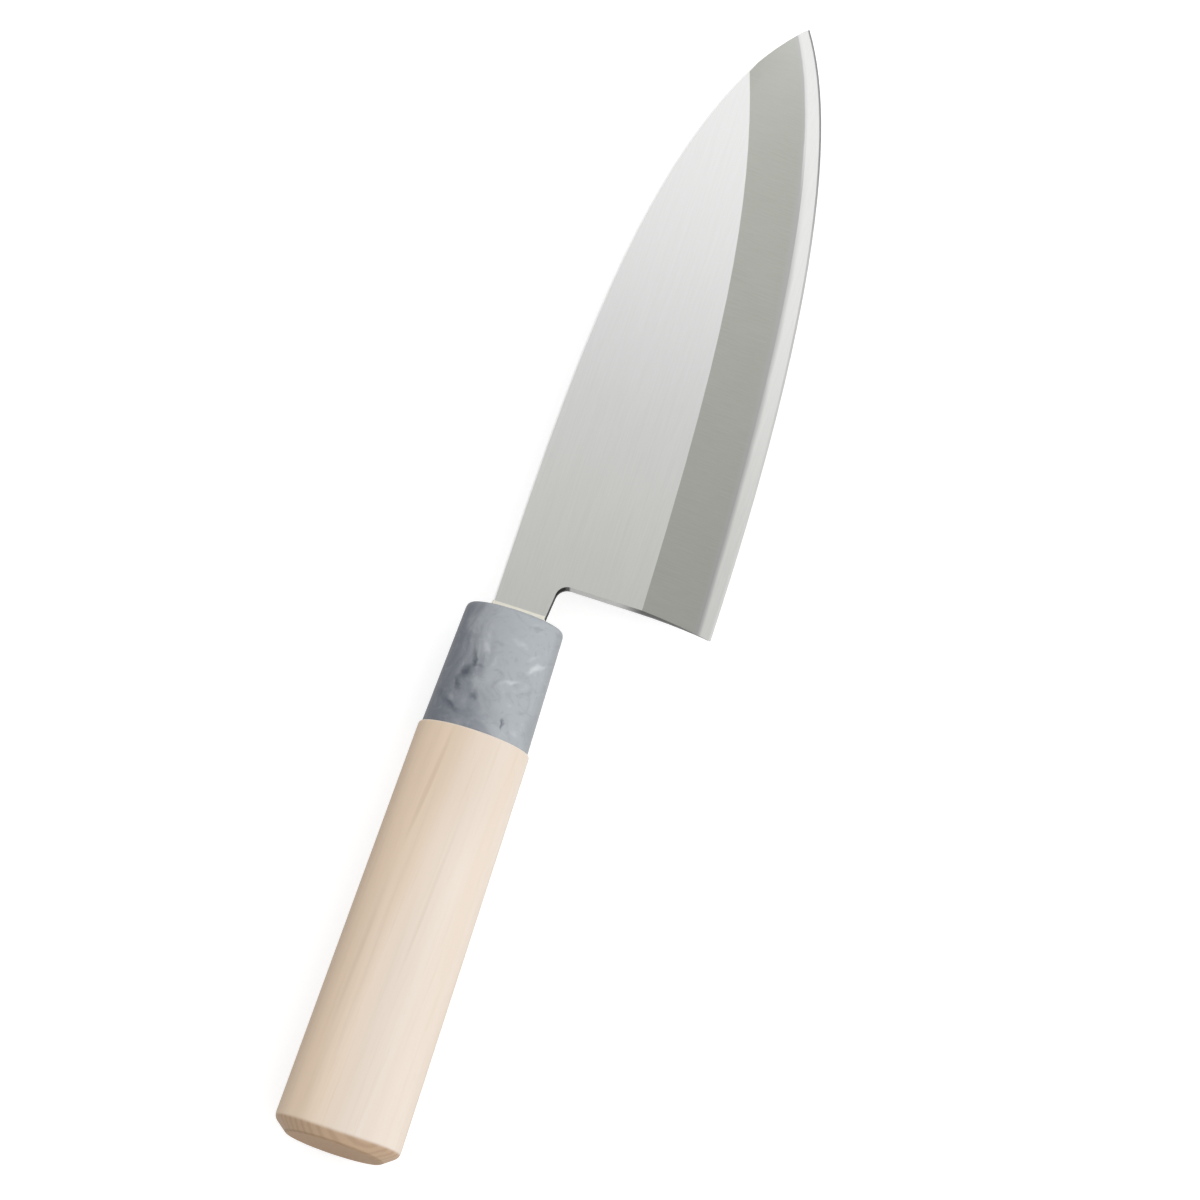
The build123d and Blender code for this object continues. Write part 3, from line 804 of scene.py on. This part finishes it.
def slot_end():
    """Ring of the slot's closed end, behind the tang's tail."""
    tail = HANDLE_LENGTH - TANG_LENGTH - SLOT_TAIL
    return box_ring(tail, 0, TANG_TAIL[0] + SLOT_SIDE, TANG_TAIL[1] + SLOT_FACE)


def bore(x, inset):
    """Half width and half thickness of the ferrule's bore, drawn in by an inset."""
    share = (x - WOOD_LENGTH) / FERRULE_LENGTH
    return [
        rear + share * (front - rear) - FERRULE_WALL - inset
        for rear, front in zip(FERRULE_REAR, FERRULE_FRONT)
    ]


def make_handle():
    """Wooden body with its chamfered butt, rounded shoulder, tenon and slot."""
    corners = [
        (0, BUTT_FLAT[0] - BUTT_INSET, BUTT_FLAT[1] - BUTT_INSET),
        (0, *BUTT_FLAT),
        (BUTT_CHAMFER, *BUTT_RIM),
        (WOOD_LENGTH, *WOOD_FRONT),
        (WOOD_LENGTH, *bore(WOOD_LENGTH, GLUE_GAP)),
    ]
    profile = rounded_profile(corners, (BUTT_FLAT_ROUNDING, BUTT_RIM_ROUNDING, SHOULDER_ROUNDING))
    rings = [oval_ring(*point) for point in profile]
    front = HANDLE_LENGTH - MOUTH_RECESS
    rings.append(oval_ring(front, *bore(front, GLUE_GAP)))
    rings += [slot_mouth(), slot_end()]
    return skin("wooden_handle", rings)


def make_ferrule():
    """Oval ring with a rounded mouth."""
    rear_x, front_x = WOOD_LENGTH, HANDLE_LENGTH
    corners = [
        (rear_x, *bore(rear_x, 0)),
        (rear_x, *FERRULE_REAR),
        (front_x, *FERRULE_FRONT),
        (front_x, *bore(front_x, 0)),
        (rear_x, *bore(rear_x, 0)),
    ]
    profile = rounded_profile(corners, (0.0, MOUTH_ROUNDING, MOUTH_INNER_ROUNDING))
    return skin("marbled_ferrule", [oval_ring(*point) for point in profile[:-1]], closed=True)


def make_bedding():
    """Resin in the slot, and the bead where it wets the neck at the mouth."""
    front = HANDLE_LENGTH - MOUTH_RECESS
    rings = [slot_end(), slot_mouth()]
    center_y, half_y, half_z = slot_half(HANDLE_LENGTH, 0, 0)
    for step in range(ROUNDING_STEPS + 1):
        share = step / ROUNDING_STEPS
        # a liquid edge: it stands out at the mouth and thins to a film up the neck
        out = BEAD_WIDTH * (1 - share) ** BEAD_THINNING_POWER + BEAD_FILM
        x = front + BEAD_HEIGHT * share**BEAD_RISING_POWER
        corner = BEAD_CORNER * (1 - share) + TANG_CORNER
        rings.append(box_ring(x, center_y, half_y + out, half_z + out, corner))
    rings.append(box_ring(front, center_y, half_y, half_z, TANG_CORNER))
    rings.append(box_ring(HANDLE_LENGTH - TANG_LENGTH, 0, *TANG_TAIL, TANG_CORNER))
    return skin("resin_bead", rings)


def dress(node, material):
    """Gives a CAD node its material."""
    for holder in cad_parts[node].material_slots:
        holder.material = material


def add_floor():
    """Plain pale floor. Camera and mirror rays see it glow, so that it is white around a soft shadow."""
    low = cad_box[0][2] - FLOOR_GAP * MM
    reach = FLOOR_REACH * MM
    mesh = bpy.data.meshes.new("floor")
    corners = [(-reach, -reach, low), (reach, -reach, low), (reach, reach, low), (-reach, reach, low)]
    mesh.from_pydata(corners, [], [(0, 1, 2, 3)])
    floor = bpy.data.objects.new("floor", mesh)
    scene.collection.objects.link(floor)
    material = bpy.data.materials.new("floor")
    t = Tree(material)
    path = t.add("LightPath").outputs
    mirrored = t.math("MAXIMUM", path["Is Glossy Ray"], path["Is Transmission Ray"])
    seen = t.times(path["Is Camera Ray"], FLOOR_GLOW)
    glow = t.add("Emission", {"Color": WHITE, "Strength": t.rise(seen, mirrored, MIRRORED_FLOOR_GLOW)})
    matt = t.add("BsdfDiffuse", {"Color": FLOOR_COLOR})
    both = t.add("AddShader", {0: matt.outputs[0], 1: glow.outputs[0]})
    t.add("OutputMaterial", {0: both.outputs[0]})
    mesh.materials.append(material)


def add_sky():
    """Soft sky, white to the camera, with its bright side over the edge of the knife."""
    world = bpy.data.worlds.new("studio")
    scene.world = world
    t = Tree(world)
    direction = t.add("TexCoord").outputs["Generated"]
    facing = t.add("VectorMath", {0: direction, 1: KEY_DIRECTION}, operation="DOT_PRODUCT").outputs["Value"]
    lobe = t.math("POWER", t.math("MAXIMUM", facing, 0.0), KEY_TIGHTNESS)
    path = t.add("LightPath").outputs
    key = t.pick(path["Is Glossy Ray"], KEY_STRENGTH, KEY_STRENGTH * MIRRORED_KEY_SHARE)
    strength = t.pick(path["Is Camera Ray"], t.rise(SKY_LOW, lobe, key), SEEN_SKY)
    sky = t.add("Background", {"Color": WHITE, "Strength": strength})
    t.add("OutputWorld", {0: sky.outputs[0]})


def add_panel():
    """Panel of light beyond the tip, which the flat of the blade mirrors."""
    data = bpy.data.lights.new("panel", "AREA")
    data.shape = "RECTANGLE"
    data.size, data.size_y = PANEL_SIZE
    data.energy = PANEL_POWER
    panel = bpy.data.objects.new("panel", data)
    aim = (PANEL_AIM - PANEL_PLACE).to_track_quat("-Z", "Y").to_matrix().to_4x4()
    panel.matrix_world = Matrix.Translation(PANEL_PLACE) @ aim
    panel.visible_camera = False
    scene.collection.objects.link(panel)


add_camera()
add_floor()
add_sky()
add_panel()
dress("blade_body", body_steel_material())
dress("edge_steel", hard_steel_material())
finish_piece(make_handle(), "handle", wood_material())
finish_piece(make_ferrule(), "ferrule", plastic_material())
finish_piece(make_bedding(), "tang_bedding", resin_material())

scene.view_settings.view_transform = "Standard"
